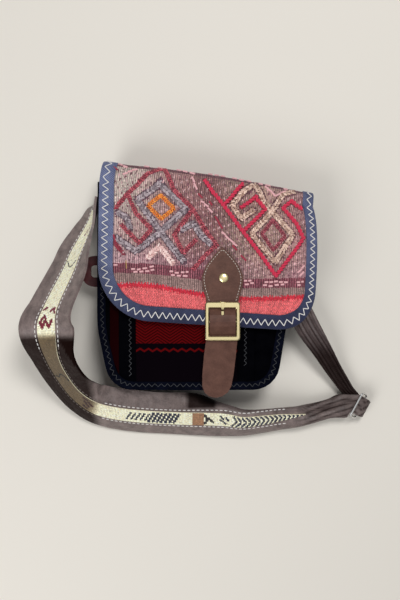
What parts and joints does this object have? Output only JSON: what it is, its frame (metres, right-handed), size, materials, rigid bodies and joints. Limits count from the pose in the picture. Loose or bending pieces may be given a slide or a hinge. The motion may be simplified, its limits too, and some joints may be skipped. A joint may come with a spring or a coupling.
{
  "type": "shoulder_bag",
  "caption": "Small kilim shoulder bag with a denim-bound flap, a buckled leather closure and a wide leather and kilim strap laid round it.",
  "frame": {"origin": "middle of the bag's back panel, on the surface that the bag lies on", "axes": "+X across the bag to the ring's side, +Y up the bag to its mouth, +Z from the back to the flap"},
  "size_m": [0.3613, 0.2906, 0.0953],
  "materials": {
    "indigo_cloth": "woven denim",
    "front_cloth": "woven",
    "lining_cloth": "woven",
    "front_kilim_wool": "flat-woven wool",
    "flap_kilim_wool": "flat-woven wool",
    "crimson_yarn": "twisted wool",
    "beige_wool": "flat-woven wool",
    "rose_wool": "flat-woven wool",
    "grey_wool": "flat-woven wool",
    "orange_wool": "flat-woven wool",
    "pink_wool": "flat-woven wool",
    "brown_leather": "worn satin",
    "brass": "polished",
    "plated_steel": "polished",
    "strap_leather": "creased satin",
    "cream_kilim": "flat-woven wool",
    "loop_leather": "satin"
  },
  "bodies": {
    "bag": {"back_panel": "indigo_cloth", "front_panel": "front_cloth", "gusset": "indigo_cloth", "lining": "lining_cloth", "front_binding": "indigo_cloth", "back_binding": "indigo_cloth", "front_red_strip": "front_kilim_wool", "front_band_left": "front_cloth", "front_kilim": "front_kilim_wool", "front_band_right": "front_cloth", "flap_kilim": "flap_kilim_wool", "flap_lining": "lining_cloth", "flap_binding": "indigo_cloth", "crimson_hooks": "crimson_yarn", "beige_lozenge": "beige_wool", "rose_lozenge": "rose_wool", "rose_hooks": "rose_wool", "grey_lozenge": "grey_wool", "orange_lozenge": "orange_wool", "pink_chevron": "pink_wool", "closure_strap": "brown_leather", "stud": "brass", "snap_male": "plated_steel", "snap_female": "plated_steel", "buckle_frame": "brass", "shoulder_strap": "strap_leather", "strap_kilim": "cream_kilim", "short_strap": "strap_leather", "side_loop": "loop_leather"},
    "prong": {"buckle_prong": "brass"},
    "ring": {"strap_ring": "plated_steel"}
  },
  "joints": [
    {"name": "prong_hinge", "type": "hinge", "parent": "bag", "child": "prong", "pos_m": [0.028, -0.0397, 0.06117], "axis": [0.9996, 0, -0.0265], "range_deg": [0, 6]},
    {"name": "ring_hinge", "type": "hinge", "parent": "bag", "child": "ring", "pos_m": [0.1781, -0.1322, 0.0074], "axis": [0.4781, 0.8783, 0], "range_deg": [0, 75]}
  ]
}
